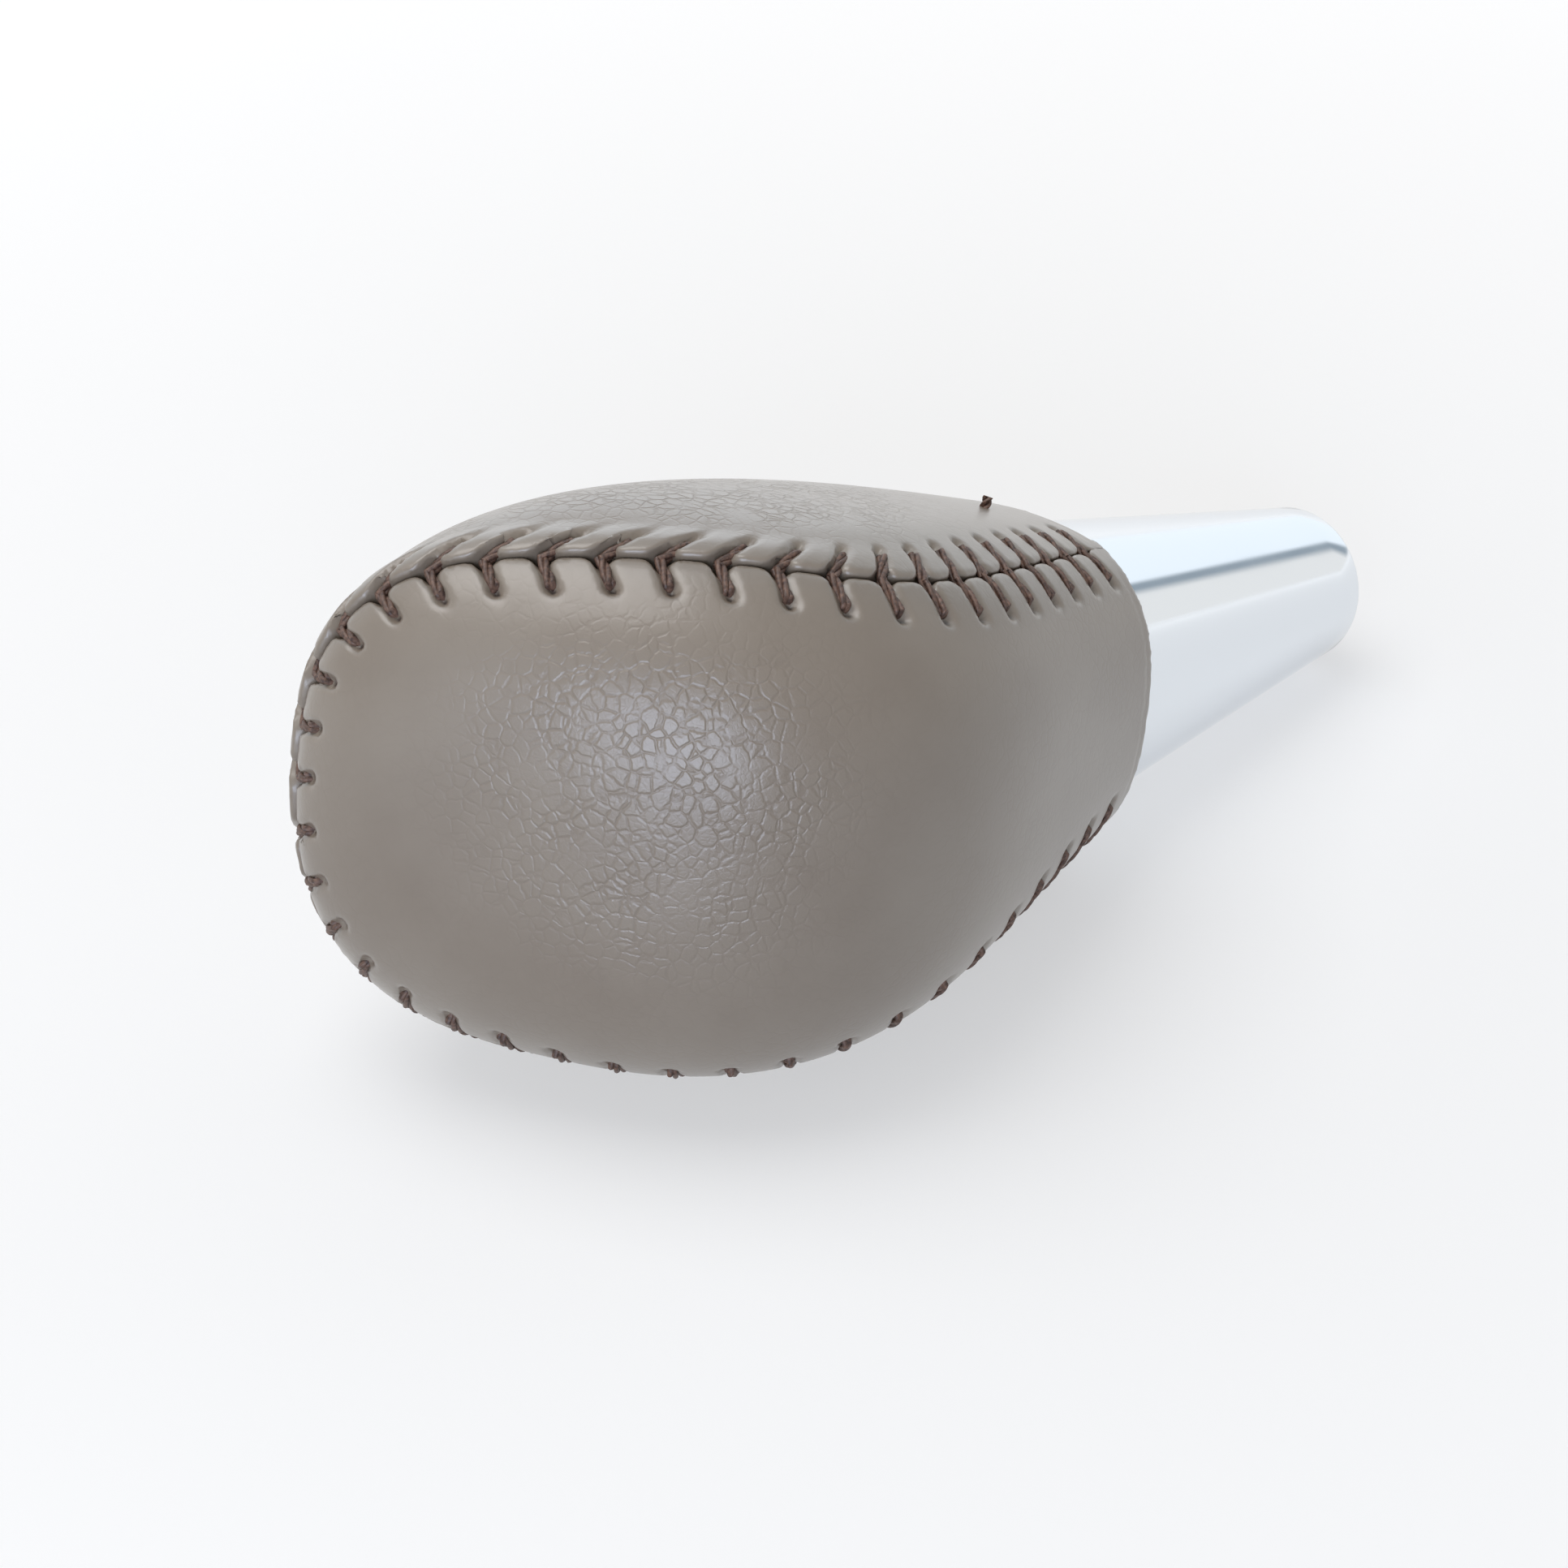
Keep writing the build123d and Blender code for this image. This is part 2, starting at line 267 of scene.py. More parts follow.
def section_at(reach, forward):
    """Which section of the grip passes through a point in side view."""
    along = reach - NECK_LENGTH
    for _ in range(12):
        along = reach - NECK_LENGTH + lean(along) * forward
    return along


def full_sizes(along):
    """Half width, front and back of the grip's section before the dome closes it."""
    sides = ((RIM_HALF_WIDTH, SIDE_DRAFT), (RIM_FRONT, FRONT_DRAFT), (RIM_BACK, BACK_DRAFT))
    return [rim + along * tan(radians(draft)) for rim, draft in sides]


def excess(points):
    """Below zero inside the grip, zero on its face and above zero outside."""
    along = section_at(-points[..., 0], -points[..., 1])
    half_width, front, back = full_sizes(along)
    depth = np.where(points[..., 1] < 0, front, back)
    wide = np.abs(points[..., 2] / half_width) ** SQUARENESS
    wide = wide + np.abs(points[..., 1] / depth) ** SQUARENESS
    filled = np.maximum(along / HEAD_LENGTH, 0)
    return wide ** (DOME_BLUNTNESS / SQUARENESS) + filled ** DOME_BLUNTNESS - 1


def outward(points, step=0.02):
    """The way out of the grip at each point, as the slope of the excess."""
    slopes = [(excess(points + d) - excess(points - d)) / (2 * step) for d in np.eye(3) * step]
    return np.stack(slopes, -1)


def settle(points):
    """The points of the grip's face that lie nearest."""
    for _ in range(5):
        out = outward(points)
        points = points - out * (excess(points) / (out * out).sum(-1))[..., None]
    return points


def unit(vectors):
    """The directions of the vectors."""
    return vectors / np.linalg.norm(vectors, axis=-1, keepdims=True)


def seam_branch(poles):
    """Points of a branch of the seam on the grip's upper half, from the rim up to the top."""
    share = np.linspace(0, 1, BRANCH_POINTS)[:, None]
    rest = 1 - share
    weights = (rest ** 3, 3 * rest ** 2 * share, 3 * rest * share ** 2, share ** 3)
    flat = sum(weight * pole for weight, pole in zip(weights, poles))
    reach, forward = NECK_LENGTH + flat[:, 0], flat[:, 1]
    along = section_at(reach, forward)
    half_width, front, back = full_sizes(along)
    left = np.maximum(1 - np.clip(along / HEAD_LENGTH, 0, 1) ** DOME_BLUNTNESS, 1e-12)
    dome = left ** (1 / DOME_BLUNTNESS)
    room = 1 - np.abs(forward / (np.where(forward > 0, front, back) * dome)) ** SQUARENESS
    up = half_width * dome * np.maximum(room, 0) ** (1 / SQUARENESS)
    return np.stack((-reach, -forward, up), -1)[:int(np.argmax(room <= 0))]


def branch_stops(length):
    """Distances of the rim, then of stitches in turn with the lobes between them, up to the top."""
    room = length - RIM_MARGIN
    count = 2 * round(room / PITCH)
    return [0.0] + [RIM_MARGIN + room * i / count for i in range(count + 1)]


upper = seam_branch(UPPER_SEAM)
lower = seam_branch(LOWER_SEAM)
top = settle(upper[-1:] * (1, 1, 0))
seam_points = np.concatenate((upper, top, lower[::-1] * (1, 1, -1)))
seam_steps = np.linalg.norm(np.diff(seam_points, axis=0), axis=1)
seam_lengths = np.concatenate(([0], np.cumsum(seam_steps)))
seam_total = seam_lengths[-1]
top_stop = seam_lengths[len(upper)]
lower_stops = [seam_total - stop for stop in reversed(branch_stops(seam_total - top_stop)[:-1])]
seam_stops = np.array(branch_stops(top_stop) + lower_stops)


def on_seam(distances):
    """Points of the seam at distances from its start on the upper side of the rim."""
    return np.stack([np.interp(distances, seam_lengths, seam_points[:, k]) for k in range(3)], -1)


def smooth_step(low, high, value):
    """Zero up to the low value, one from the high value, and a smooth rise between."""
    share = np.clip((value - low) / (high - low), 0, 1)
    return share * share * (3 - 2 * share)


# Each stitch has a leg on either panel, from the seam to a needle hole. In millimetres, at the rim
# and at the top: the legs' length square to the seam, and how far they slant along it
CHANGE_AT = (0.25, 0.65)      # shares of a branch between which the rim's sizes become the top's
FRONT_LEG = (4.0, 3.1)
REAR_LEG = (4.0, 2.3)
FRONT_SLANT = (0.2, 1.2)
REAR_SLANT = (1.4, 2.7)
LOW_REAR_SLANT = -1.8         # under the head, where the rear legs slant the other way
LOW_REACH = 1.4               # more length for the front legs there, as the seam turns away
LOW_REACH_STARTS = (0, 0.12)  # shares of the lower branch, from the top
LOW_REACH_ENDS = (0.55, 0.8)


def rim_to_top(stops, at_rim, at_top):
    """A size of the stitches, which changes along the seam from the rim to the top."""
    lower_share = (seam_total - stops) / (seam_total - top_stop)
    share = np.where(stops < top_stop, stops / top_stop, lower_share)
    return at_rim + (at_top - at_rim) * smooth_step(*CHANGE_AT, share)


def under_head(stops):
    """Share of the way along the lower branch from the top to the rim, and zero on the upper one."""
    return np.clip((stops - top_stop) / (seam_total - top_stop), 0, 1)


def front_leg(stops):
    """Length and slant of the legs on the front panel."""
    under = under_head(stops)
    reached = smooth_step(*LOW_REACH_STARTS, under) * (1 - smooth_step(*LOW_REACH_ENDS, under))
    length = rim_to_top(stops, *FRONT_LEG) + LOW_REACH * reached
    return length, rim_to_top(stops, *FRONT_SLANT)


def rear_leg(stops):
    """Length and slant of the legs on the rear panel."""
    slant = np.where(stops < top_stop + PITCH / 2, rim_to_top(stops, *REAR_SLANT), LOW_REAR_SLANT)
    return rim_to_top(stops, *REAR_LEG), slant


# What the thread does to the leather, in millimetres: it lies in a groove that ends in a needle
# hole, and draws the edges back, while the tabs between the stitches swell and meet over the seam.
# The front panel's tabs stay flat, the rear panel's swell at the top and lie flat at the rim.
GROOVE = 0.4
HOLE_DENT = 0.45
EDGE_PULL = 0.4
EDGE_MEET = 0.26
RIM_MEET = 0.3                # more at the rim, where the panels' corners close up
EDGE_CRISP = 0.45             # share of the rolled edge that is left
FRONT_SWELL = (0.1, 0.2)
REAR_SWELL = (0.12, 0.75)
LOW_SWELL = 0.2               # share of the swelling that is left under the head
LOW_SWELL_STARTS = (0, 0.15)  # shares of the lower branch, from the top

# Where these begin and end, in millimetres from a stitch along the seam
TAB_EDGE = (0.15, 0.95)       # from the groove up to the tab beside it
PULL_ENDS = (0.2, 1.2)
MEET_STARTS = (0.7, 1.7)
CORNER_ENDS = (0.5, 4.5)      # the panels' corners, from the seam's ends on the rim
# And across the seam
GROOVE_ENDS = (-0.2, 0.7)     # past the needle hole
HOLE_WIDTH = 0.5
SWELL_ENDS = (0.8, 5.0)
DRAWN_ENDS = (0.3, 2.4)       # the edges that are pulled back or meet
PULLED_SMOOTH = (2.0, 11.0)   # from leather that the seam holds taut to leather with its full grain

stitch_stops = seam_stops[1::2]
tree_stops = np.arange(0, seam_total, TREE_STEP)
tree_points = on_seam(tree_stops)
seam_tree = KDTree(len(tree_points))
for i, point in enumerate(tree_points):
    seam_tree.insert(point, i)
seam_tree.balance()


def beside_seam(feet):
    """The nearest of the seam's points for each foot, and the distance to it."""
    found = [seam_tree.find(foot) for foot in feet]
    return np.array([hit[1] for hit in found]), np.array([hit[2] for hit in found])


def read_points(piece):
    """The points of a piece's mesh in the knob's own axes, in millimetres."""
    places = np.empty(len(piece.data.vertices) * 3, np.float32)
    piece.data.vertices.foreach_get("co", places)
    to_knob = np.array(KNOB_TO_ROW.inverted())
    return places.reshape(-1, 3).astype(float) @ to_knob[:3, :3].T + to_knob[:3, 3]


def write_points(piece, points):
    """Moves the points of a piece's mesh to places in the knob's own axes."""
    to_row = np.array(KNOB_TO_ROW)
    placed = points @ to_row[:3, :3].T + to_row[:3, 3]
    piece.data.vertices.foreach_set("co", placed.astype(np.float32).ravel())
    piece.data.update()


def select_only(piece):
    """Makes a piece the active one, and the only one selected."""
    bpy.ops.object.select_all(action="DESELECT")
    piece.select_set(True)
    bpy.context.view_layer.objects.active = piece


def mark_points(piece, name, chosen):
    """Puts the chosen points of a piece in a vertex group, and gives back its name."""
    group = piece.vertex_groups.new(name=name)
    group.add(np.flatnonzero(chosen).tolist(), 1.0, "REPLACE")
    return group.name


def fine_panel(node, name):
    """A copy of a CAD panel, merged and meshed evenly."""
    panel = bpy.data.objects.new(name, nodes[node].data.copy())
    bpy.context.scene.collection.objects.link(panel)
    select_only(panel)
    bpy.ops.object.mode_set(mode="EDIT")
    bpy.ops.mesh.select_all(action="SELECT")
    bpy.ops.mesh.remove_doubles(threshold=MERGE * MM)
    bpy.ops.object.mode_set(mode="OBJECT")
    apply_modifier(panel, "REMESH", mode="VOXEL", voxel_size=VOXEL * MM)
    return panel


def rim_corner(along):
    """One at the seam's ends on the rim, and zero a little further on."""
    return 1 - smooth_step(*CORNER_ENDS, np.minimum(along, seam_total - along))


def drawn_by_thread(along, across, leg_on, swell):
    """How far the thread lifts the leather and shifts it from the seam, and where it pierces it."""
    leg, slant = leg_on(along)
    unslanted = along + slant * across / leg
    beside = np.abs(unslanted[:, None] - stitch_stops[None, :]).min(1)
    tab = smooth_step(*TAB_EDGE, beside)
    groove = (1 - tab) * (1 - smooth_step(leg + GROOVE_ENDS[0], leg + GROOVE_ENDS[1], across))
    hole = np.exp(-(beside ** 2 + (across - leg) ** 2) / HOLE_WIDTH ** 2)
    puffed = rim_to_top(along, *swell) * tab * (1 - smooth_step(*SWELL_ENDS, across))
    puffed = puffed * (1 - (1 - LOW_SWELL) * smooth_step(*LOW_SWELL_STARTS, under_head(along)))
    near_seam = 1 - smooth_step(*DRAWN_ENDS, across)
    pull = EDGE_PULL * (1 - smooth_step(*PULL_ENDS, beside)) * near_seam
    meet = (EDGE_MEET * smooth_step(*MEET_STARTS, beside) + RIM_MEET * rim_corner(along)) * near_seam
    return puffed - GROOVE * groove - HOLE_DENT * hole, pull - meet, hole


# The parts of a panel, by their height over the grip's face in millimetres
BED_FLOOR = -1.42             # the beds for the thread that it comes with
FACE_FLOOR = -0.25            # the outer face beyond those beds
BED_TOP = -0.1
ROLL_FLOOR = -1.0
SKIN = (-1.45, -0.5)          # from the inner face, which stays, to the outer one, which moves
GLUED = -1.5
# And by their distance from the seam or from the rim
BEDS_END = 7.0
EDGE_WIDTH = 1.2
ROLL_WIDTH = 1.5
RIM_WIDTH = 1.5
GLUED_MARGIN = 3.0


def leather_panel(node, name, leg_on, swell, slack_most, slack_middle, slack_reach):
    """A CAD panel, meshed finely and drawn in by the stitches."""
    panel = fine_panel(node, name)
    points = read_points(panel)
    feet = settle(points)
    height = ((points - feet) * unit(outward(feet))).sum(1)
    _, across = beside_seam(feet)
    section = section_at(-feet[:, 0], -feet[:, 1])
    face = height > np.where(across < BEDS_END, BED_FLOOR, FACE_FLOOR)
    face = face & (across > EDGE_WIDTH) & (section > RIM_WIDTH)

    # The beds that the panel comes with are filled, as the thread draws its own grooves
    write_points(panel, np.where(face[:, None], feet, points))
    beds = mark_points(panel, "beds", face & (height < BED_TOP))
    apply_modifier(panel, "SMOOTH", vertex_group=beds, factor=0.5, iterations=40)
    feet = settle(read_points(panel))
    out = unit(outward(feet))
    nearest, across = beside_seam(feet)
    along = tree_stops[nearest]
    away = unit(feet - tree_points[nearest] + 1e-9)
    rise, shift, hole = drawn_by_thread(along, across, leg_on, swell)
    skin = np.where(face, 1.0, smooth_step(*SKIN, height))
    roll = (height > ROLL_FLOOR) & (across < ROLL_WIDTH)
    rolled = height * EDGE_CRISP * (1 - rim_corner(along))
    level = np.where(face, 0.0, np.where(roll, rolled, height))
    write_points(panel, feet + out * (level + skin * rise)[:, None] + away * (skin * shift)[:, None])

    # The grain's depth, and the needle holes, where the leather's colour is darkened as painted shade
    from_middle = np.linalg.norm(feet - slack_middle, axis=1)
    slack = slack_most * smooth_step(*PULLED_SMOOTH, across) * (1 - smooth_step(*slack_reach, from_middle))
    for title, values in (("slack", slack), ("needle_hole", hole)):
        attribute = panel.data.attributes.new(title, "FLOAT", "POINT")
        attribute.data.foreach_set("value", values.astype(np.float32))
    apply_modifier(panel, "SMOOTH", factor=0.5, iterations=2)

    # The inner face is glued to the core and never shows, so fewer facets do there
    inner = (height < GLUED) & (across > GLUED_MARGIN) & (section > GLUED_MARGIN)
    facets = 2 * len(panel.data.polygons)
    apply_modifier(
        panel, "DECIMATE", vertex_group=mark_points(panel, "glued", inner),
        ratio=min(1.0, MOST_FACETS / facets),
    )
    bpy.ops.object.shade_smooth()
    return panel


front_cover = leather_panel(
    "front_leather", "front_leather_cover", front_leg, FRONT_SWELL,
    slack_most=1.0, slack_middle=(-106, -12, 6), slack_reach=(7, 22),
)
rear_cover = leather_panel(
    "rear_leather", "rear_leather_cover", rear_leg, REAR_SWELL,
    slack_most=1.3, slack_middle=(-95, 15, 0), slack_reach=(30, 45),
)

# Dyed and pressed cowhide: pebbles of about 1 mm with creases between them and a finer net over
# them, which the pull of the seam smooths out. Its finish is a satin, duller in the creases, and the
# creases are darkened with painted shade.
PEBBLE = 1.15
FINE_CREASE = 0.45
leather, shader = surface_of("taupe_cowhide")
coords = add_node(leather, "TexCoord")
ripple = add_node(leather, "TexNoise", {"Scale": 1 / (3.5 * MM), "Detail": 3.0}, Vector=(coords, "Object"))
shift = add_node(leather, "VectorMath", {
    "operation": "MULTIPLY_ADD", 1: (1.0 * MM,) * 3,
}, _0=(ripple, "Color"), _2=(coords, "Object"))
crinkle = add_node(leather, "TexNoise", {"Scale": 1 / (0.9 * MM), "Detail": 2.0}, Vector=(coords, "Object"))
wavy = add_node(leather, "VectorMath", {
    "operation": "MULTIPLY_ADD", 1: (0.45 * MM,) * 3,
}, _0=(crinkle, "Color"), _2=(shift, "Vector"))
cells = add_node(leather, "TexVoronoi", {
    "feature": "DISTANCE_TO_EDGE", "Scale": 1 / (PEBBLE * MM),
}, Vector=(wavy, "Vector"))
creases = add_node(leather, "MapRange", {
    "interpolation_type": "SMOOTHSTEP", "From Max": 0.16, "To Min": 1.0, "To Max": 0.0,
}, Value=(cells, "Distance"))
fading = add_node(leather, "TexNoise", {"Scale": 1 / (4 * MM), "Detail": 2.0}, Vector=(coords, "Object"))
kept = add_node(leather, "MapRange", {
    "From Min": 0.3, "From Max": 0.55, "To Min": 0.15, "To Max": 1.0,
}, Value=(fading, "Fac"))
deep = add_node(leather, "Math", {"operation": "MULTIPLY"}, _0=(creases, "Result"), _1=(kept, "Result"))
fine = add_node(leather, "TexVoronoi", {
    "feature": "DISTANCE_TO_EDGE", "Scale": 1 / (FINE_CREASE * MM),
}, Vector=(wavy, "Vector"))
fine_creases = add_node(leather, "MapRange", {
    "From Max": 0.2, "To Min": 1.0, "To Max": 0.0,
}, Value=(fine, "Distance"))
pores = add_node(leather, "TexNoise", {"Scale": 1 / (0.2 * MM), "Detail": 2.0}, Vector=(coords, "Object"))
netted = add_node(leather, "Math", {
    "operation": "MULTIPLY_ADD", 1: 0.14,
}, _0=(fine_creases, "Result"), _2=(deep, "Value"))
grain = add_node(leather, "Math", {
    "operation": "MULTIPLY_ADD", 1: 0.08,
}, _0=(pores, "Fac"), _2=(netted, "Value"))
slack = add_node(leather, "Attribute", {"attribute_name": "slack"})
depth = add_node(leather, "MapRange", {"clamp": False, "To Min": 0.12, "To Max": 1.0}, Value=(slack, "Fac"))
relief = add_node(leather, "Bump", {
    "invert": True, "Distance": 0.045 * MM,
}, Height=(grain, "Value"), Strength=(depth, "Result"))
for side in ("Normal", "Coat Normal"):
    leather.node_tree.links.new(relief.outputs["Normal"], shader.inputs[side])
pressed = add_node(leather, "Math", {"operation": "MULTIPLY"}, _0=(deep, "Value"), _1=(depth, "Result"))
satin = add_node(leather, "MapRange", {"To Min": 0.42, "To Max": 0.6}, Value=(pressed, "Value"))
leather.node_tree.links.new(satin.outputs["Result"], shader.inputs["Roughness"])
patches = add_node(leather, "TexNoise", {"Scale": 1 / (14 * MM), "Detail": 4.0}, Vector=(coords, "Object"))
tone = add_node(leather, "ValToRGB", None, Fac=(patches, "Fac"))
tone.color_ramp.elements[0].position = 0.3
tone.color_ramp.elements[0].color = linear("#73675a")
tone.color_ramp.elements[1].position = 0.7
tone.color_ramp.elements[1].color = linear("#7f7467")
# Painted shade: the colour is darkened a little in the creases, as deep as they are pressed
crease_shade = add_node(leather, "Mix", {
    "data_type": "RGBA", 6: (1.0, 1.0, 1.0, 1.0), 7: linear("#f4f2f0"),
}, _0=(pressed, "Value"))
dye_and_crease_shade = add_node(leather, "Mix", {
    "data_type": "RGBA", "blend_type": "MULTIPLY", 0: 1.0,
}, _6=(tone, "Color"), _7=(crease_shade, 2))
# Painted shade: the base colour darkens almost to black in the needle holes, where shade falls in the dents
holes = add_node(leather, "Attribute", {"attribute_name": "needle_hole"})
hole_shade_share = add_node(leather, "MapRange", {
    "From Min": 0.5, "From Max": 0.9, "To Max": 0.9,
}, Value=(holes, "Fac"))
colour_with_hole_shade = add_node(leather, "Mix", {
    "data_type": "RGBA", 7: linear("#241a16"),
}, _0=(hole_shade_share, "Result"), _6=(dye_and_crease_shade, 2))
leather.node_tree.links.new(colour_with_hole_shade.outputs[2], shader.inputs["Base Color"])
shader.inputs["Coat Weight"].default_value = 0.85
shader.inputs["Coat Roughness"].default_value = 0.3
as_finished(front_cover, leather, ["front_leather"])
as_finished(rear_cover, leather, ["rear_leather"])

# Seam stitching
# Waxed brown thread of three twisted plies. Each stitch comes out of a needle hole in the front
# panel, crosses the seam and goes down into a hole in the rear panel.
PLY_RADIUS = 0.25
PLY_OFFSET = 0.24
PLY_SIDES = 8
PLY_STEPS = 20
TURNS_PER_LEG = 0.6
CROSSING_DEPTH = 0.3
CROSSING_LAP = 0.04           # share of a leg that reaches over the seam
LAID_DEPTH = 0.15             # at the needle hole
DIVE = 1.2                    # down into the hole
DIVE_STARTS = 0.84            # share of the leg
THREAD_END = (-53.9, 0.3, 17.3)
THREAD_END_LENGTH = 1.4
THREAD_END_SINK = 0.4
THREAD_END_LEAN = (0.02, 0, 0)

bpy.ops.object.select_all(action="DESELECT")
bpy.ops.mesh.primitive_circle_add(vertices=PLY_SIDES, radius=PLY_RADIUS, location=(PLY_OFFSET, 0, 0))
ply = bpy.context.object
bpy.ops.object.transform_apply(location=True, rotation=False, scale=False)
bpy.ops.object.mode_set(mode="EDIT")
for third in (1, 2):
    bpy.ops.mesh.select_all(action="DESELECT")
    bpy.ops.object.mode_set(mode="OBJECT")
    for vertex in ply.data.vertices:
        vertex.select = vertex.index < PLY_SIDES
    for edge in ply.data.edges:
        edge.select = edge.index < PLY_SIDES
    bpy.ops.object.mode_set(mode="EDIT")
    bpy.ops.mesh.duplicate()
    bpy.ops.transform.rotate(value=2 * pi * third / 3, orient_axis="Z", center_override=(0, 0, 0))
bpy.ops.object.mode_set(mode="OBJECT")
apply_modifier(
    ply, "SCREW", axis="Z", angle=2 * pi * TURNS_PER_LEG, screw_offset=1.0,
    steps=PLY_STEPS, render_steps=PLY_STEPS,
)
leg_points = np.array([vertex.co for vertex in ply.data.vertices])
leg_faces = [tuple(face.vertices) for face in ply.data.polygons]
bpy.data.objects.remove(ply)


def laid_leg(start, end, turned):
    """The twisted thread's points on a run over the leather's face, from a depth to a depth."""
    (start_point, start_depth), (end_point, end_depth) = start, end
    share = leg_points[:, 2:3]
    feet = settle(start_point + (end_point - start_point) * share)
    out = unit(outward(feet))
    depth = start_depth + (end_depth - start_depth) * share
    run = unit(end_point - start_point)
    side = unit(np.cross(out, run))
    c, s = cos(turned), sin(turned)
    x = leg_points[:, 0:1] * c - leg_points[:, 1:2] * s
    y = leg_points[:, 0:1] * s + leg_points[:, 1:2] * c
    dive = DIVE * smooth_step(DIVE_STARTS, 1.0, share)
    return feet + side * x + out * (y - depth - dive)


def add_thread(points):
    """Adds a run of the twisted thread to the seam."""
    first = len(thread_points) * len(leg_points)
    thread_points.append(points)
    thread_faces.extend(tuple(v + first for v in face) for face in leg_faces)


stations = on_seam(seam_stops)
draw = np.random.default_rng(7)
thread_points = []
thread_faces = []
for i in range(1, len(stations), 2):
    run = stations[i - 1] - stations[i + 1]
    to_front = unit(np.cross(run, outward(stations[i])))
    for leg_on, towards in ((front_leg, to_front), (rear_leg, -to_front)):
        length, slant = leg_on(seam_stops[i])
        hole_point = settle(stations[i] + towards * length + unit(run) * slant)
        start = (stations[i] - towards * length * CROSSING_LAP, CROSSING_DEPTH)
        add_thread(laid_leg(start, (hole_point, LAID_DEPTH), draw.uniform(0, 2 * pi)))

# Near the rim a cut end of the thread sticks out of the rear panel
end_foot = settle(np.array([THREAD_END]))
end_rise = unit(outward(end_foot) + THREAD_END_LEAN)
end_side = unit(np.cross(end_rise, (0, 1, 0)))
end_across = np.cross(end_rise, end_side)
end_height = leg_points[:, 2:3] * THREAD_END_LENGTH - THREAD_END_SINK
end_section = end_side * leg_points[:, 0:1] + end_across * leg_points[:, 1:2]
add_thread(end_foot + end_section + end_rise * end_height)
laid_points = np.concatenate(thread_points)
thread_mesh = bpy.data.meshes.new("waxed_stitches")
thread_mesh.from_pydata(laid_points.tolist(), [], thread_faces)
stitches = bpy.data.objects.new("waxed_stitches", thread_mesh)
bpy.context.scene.collection.objects.link(stitches)
write_points(stitches, laid_points)
select_only(stitches)
bpy.ops.object.mode_set(mode="EDIT")
bpy.ops.mesh.select_all(action="DESELECT")
bpy.ops.mesh.select_non_manifold()
bpy.ops.mesh.fill_holes(sides=PLY_SIDES)
bpy.ops.mesh.select_all(action="SELECT")
bpy.ops.mesh.normals_make_consistent(inside=False)
bpy.ops.object.mode_set(mode="OBJECT")
bpy.ops.object.shade_smooth_by_angle(angle=radians(50))

# Waxed polyester: a soft sheen on dark brown, with paler fibres along each ply
thread, shader = surface_of("waxed_brown_thread")
coords = add_node(thread, "TexCoord")
fibres = add_node(thread, "TexNoise", {"Scale": 1 / (0.35 * MM), "Detail": 4.0}, Vector=(coords, "Object"))
dye = add_node(thread, "ValToRGB", None, Fac=(fibres, "Fac"))
dye.color_ramp.elements[0].position = 0.35
dye.color_ramp.elements[0].color = linear("#33211a")
dye.color_ramp.elements[1].position = 0.68
dye.color_ramp.elements[1].color = linear("#6f5446")
thread.node_tree.links.new(dye.outputs["Color"], shader.inputs["Base Color"])
shader.inputs["Roughness"].default_value = 0.5
as_finished(stitches, thread, ["seam_stitching"])

# Floor, light and camera
# The knob lies on a white table in a daylit room, with a window low on the left of the camera.
# The table shows white to the camera and in the chrome, and keeps the knob's shadow.
bpy.ops.object.select_all(action="DESELECT")
bpy.ops.mesh.primitive_plane_add(size=6.0)
floor = bpy.context.object
floor.name = "table_top"
white, shader = surface_of("white_table")
shader.inputs["Base Color"].default_value = (0.47, 0.47, 0.47, 1.0)
shader.inputs["Roughness"].default_value = 0.9
shader.inputs["Specular IOR Level"].default_value = 0.1
rays = add_node(white, "LightPath")
seen = add_node(white, "Math", {
    "operation": "MAXIMUM",
}, _0=(rays, "Is Camera Ray"), _1=(rays, "Is Glossy Ray"))
shown = add_node(white, "Math", {
    "operation": "MAXIMUM",
}, _0=(seen, "Value"), _1=(rays, "Is Transmission Ray"))
coords = add_node(white, "TexCoord")
# Painted light and shade: the table's glow is weaker near the knob and grows with distance from it
away = add_node(white, "VectorMath", {"operation": "LENGTH"}, _0=(coords, "Object"))
fill = add_node(white, "MapRange", {
    "From Min": 0.05, "From Max": 0.5, "To Min": 0.48, "To Max": 0.73,
}, Value=(away, "Value"))
far_fill = add_node(white, "MapRange", {
    "From Min": 0.5, "From Max": 1.6, "To Max": 0.16,
}, Value=(away, "Value"))
filled = add_node(white, "Math", {"operation": "ADD"}, _0=(fill, "Result"), _1=(far_fill, "Result"))
glow = add_node(white, "Math", {"operation": "MULTIPLY"}, _0=(shown, "Value"), _1=(filled, "Value"))
white.node_tree.links.new(glow.outputs["Value"], shader.inputs["Emission Strength"])
shader.inputs["Emission Color"].default_value = (1.0, 1.0, 1.0, 1.0)
floor.data.materials.append(white)

# Soft light all round, less of it from the right of the camera, where the room is darker. What the
# chrome mirrors of the room is a pale wall on that side, then the thin dark post of a window and the
# bright sky in it. Both go by compass angle from +X to +Y.
PALE_WALL = "#e9e8e6"
WINDOW_POST = "#949fa8"
BRIGHT_SKY = "#f2f9ff"
ROOM_LIGHT = ((-140, 1.0), (-112, 0.2), (-45, 0.2), (-12, 1.0))
ROOM_MIRRORED = (
    (-7, PALE_WALL), (-3, WINDOW_POST), (0.5, WINDOW_POST),
    (2.5, BRIGHT_SKY), (90, BRIGHT_SKY), (130, PALE_WALL),
)
world = bpy.data.worlds.new("daylit_room")
bpy.context.scene.world = world
world.use_nodes = True
sky = world.node_tree.nodes["Background"]
coords = add_node(world, "TexCoord")
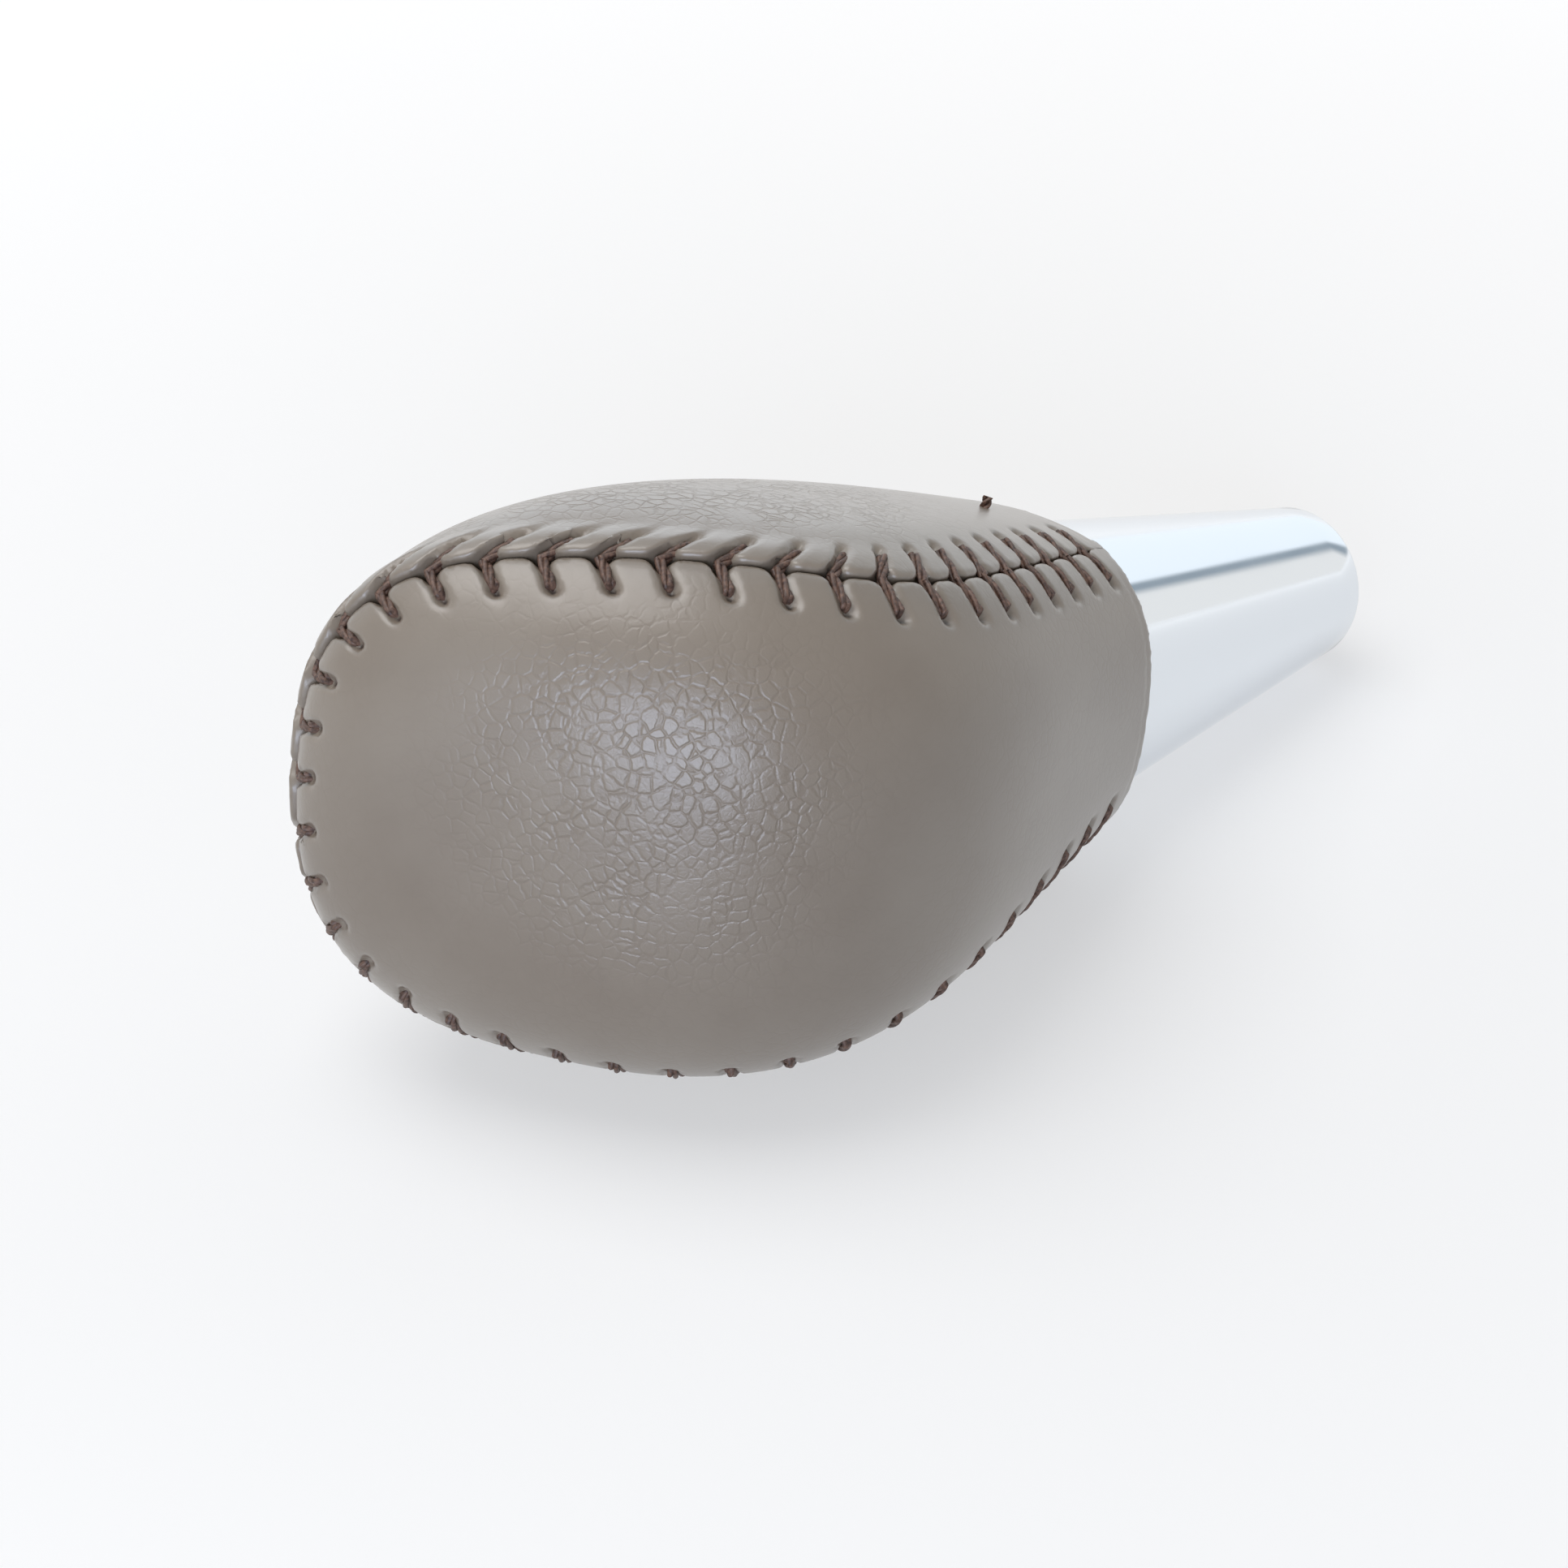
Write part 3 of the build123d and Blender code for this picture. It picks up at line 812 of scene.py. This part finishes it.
facing = add_node(world, "SeparateXYZ", None, Vector=(coords, "Generated"))
compass = add_node(world, "Math", {"operation": "ARCTAN2"}, _0=(facing, "Y"), _1=(facing, "X"))
turn = add_node(world, "MapRange", {"From Min": -pi, "From Max": pi}, Value=(compass, "Value"))
lit = add_node(world, "ValToRGB", None, Fac=(turn, "Result"))
lit.color_ramp.elements[0].color = lit.color_ramp.elements[1].color = (1.0, 1.0, 1.0, 1.0)
for degrees_round, share in ROOM_LIGHT:
    lit.color_ramp.elements.new(0.5 + degrees_round / 360).color = (share, share, share, 1.0)
room = add_node(world, "ValToRGB", None, Fac=(turn, "Result"))
room.color_ramp.elements[0].color = room.color_ramp.elements[1].color = linear(PALE_WALL)
for degrees_round, colour in ROOM_MIRRORED:
    room.color_ramp.elements.new(0.5 + degrees_round / 360).color = linear(colour)
rays = add_node(world, "LightPath")
mirrored = add_node(world, "Mix", {
    "data_type": "RGBA",
}, _0=(rays, "Is Glossy Ray"), _6=(lit, "Color"), _7=(room, "Color"))
seen = add_node(world, "Math", {
    "operation": "MAXIMUM",
}, _0=(rays, "Is Camera Ray"), _1=(rays, "Is Transmission Ray"))
backdrop = add_node(world, "Mix", {
    "data_type": "RGBA", 7: (1.0, 1.0, 1.0, 1.0),
}, _0=(seen, "Value"), _6=(mirrored, 2))
world.node_tree.links.new(backdrop.outputs[2], sky.inputs["Color"])
glossy = add_node(world, "MapRange", {"To Min": 0.34, "To Max": 1.2}, Value=(rays, "Is Glossy Ray"))
level = add_node(world, "Mix", {3: 1.0}, _0=(seen, "Value"), _2=(glossy, "Result"))
world.node_tree.links.new(level.outputs[0], sky.inputs["Strength"])


KNOB_MIDDLE = Vector((-0.02, 0.0, 0.025))


def window(name, place, size, power, colour, mirrored=True):
    """A soft square light that faces the knob, and may be left out of reflections."""
    bpy.ops.object.light_add(type="AREA", location=place)
    lamp = bpy.context.object
    lamp.name = name
    lamp.data.size = size
    lamp.data.energy = power
    lamp.data.color = linear(colour)[:3]
    lamp.visible_glossy = mirrored
    lamp.rotation_mode = "QUATERNION"
    lamp.rotation_quaternion = (KNOB_MIDDLE - Vector(place)).to_track_quat("-Z", "Y")


# The low window is two lamps in one place, so that the leather mirrors only a part of its light
LOW_WINDOW = (-0.62, -0.46, 0.16)
window("low_window", LOW_WINDOW, 0.44, 3.9, "#d6e4fd")
window("window_glow", LOW_WINDOW, 0.44, 1.4, "#dfe9fc", mirrored=False)
window("left_wall", (-0.75, -0.05, 0.2), 0.7, 1.1, "#ffffff", mirrored=False)
window("ceiling_light", (-0.2, 0.25, 0.9), 0.7, 5.0, "#ffffff")
window("far_window", (0.49, 0.59, 0.26), 0.5, 0.42, "#eef4ff")
window("right_wall", (0.7, -0.1, 0.35), 0.5, 0.5, "#ffffff", mirrored=False)

# A camera close above the head of the knob, fitted to its outline, seam, rim and neck
CAMERA_PLACE = Vector((-171.01, -143.73, 161.33)) * MM
CAMERA_AHEAD = Vector((0.59897, 0.56899, -0.56345))
CAMERA_RIGHT = Vector((0.70191, -0.71174, 0.02742))
FOCAL_PIXELS = 3600.9
IMAGE_PIXELS = 1932
bpy.ops.object.camera_add()
camera = bpy.context.object
camera.data.sensor_width = 36.0
camera.data.lens = camera.data.sensor_width * FOCAL_PIXELS / IMAGE_PIXELS
camera.data.clip_start = 0.01
right = CAMERA_RIGHT.normalized()
back = -CAMERA_AHEAD.normalized()
up = back.cross(right)
turned = Matrix((right, up, back)).transposed().to_4x4()
camera.matrix_world = Matrix.Translation(CAMERA_PLACE) @ turned
bpy.context.scene.camera = camera
bpy.context.scene.view_settings.view_transform = "Standard"
